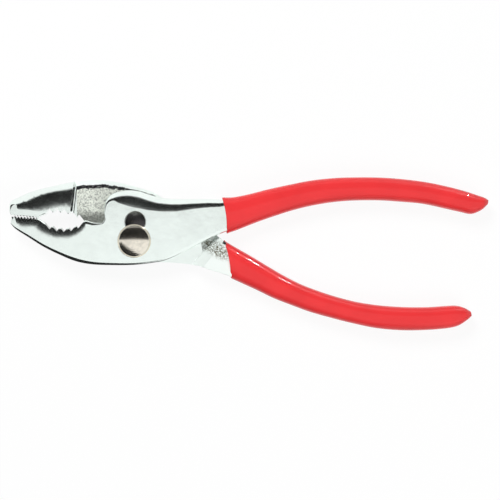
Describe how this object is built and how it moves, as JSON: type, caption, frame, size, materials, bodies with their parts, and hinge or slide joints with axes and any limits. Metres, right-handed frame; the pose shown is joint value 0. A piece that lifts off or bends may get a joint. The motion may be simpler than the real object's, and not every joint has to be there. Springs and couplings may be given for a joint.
{
  "type": "slip joint pliers",
  "caption": "Slip joint pliers with a curved pipe grip, fine teeth at the tip, a slotted pivot that sets the jaws wider, and dipped soft grips on bowed handles.",
  "frame": {"origin": "on the pivot's axis, in the flat face that the joint rests on", "axes": "+X towards the handles, -X towards the jaws, +Y towards the slot's second hole, +Z out of the bolt's domed head"},
  "size_m": [0.2009, 0.0643, 0.0128],
  "materials": {
    "plated_steel": "polished and plated forging, with rough cast recesses",
    "bolt_steel": "polished",
    "washer_steel": "polished",
    "dipped_plastic": "glossy dipped soft plastic"
  },
  "bodies": {
    "front": {"front_half": "plated_steel", "upper_grip": "dipped_plastic"},
    "pivot": {"pivot_bolt": "bolt_steel", "pivot_nut": "bolt_steel"},
    "washer": {"washer": "washer_steel"},
    "rear": {"rear_half": "plated_steel", "lower_grip": "dipped_plastic"}
  },
  "joints": [
    {"name": "slip", "type": "slide", "parent": "front", "child": "pivot", "axis": [0.0506, 0.9987, 0], "range_m": [0, 0.008]},
    {"name": "washer_turn", "type": "hinge", "parent": "pivot", "child": "washer", "pos_m": [0, 0, 0], "axis": [0, 0, -1], "range_deg": [0, 15.6]},
    {"name": "open", "type": "hinge", "parent": "washer", "child": "rear", "pos_m": [0, 0, 0], "axis": [0, 0, -1], "range_deg": [0, 45]}
  ],
  "couplings": [
    {"joint": "washer_turn", "follows": "slip", "rad_per_m": 33.816}
  ]
}
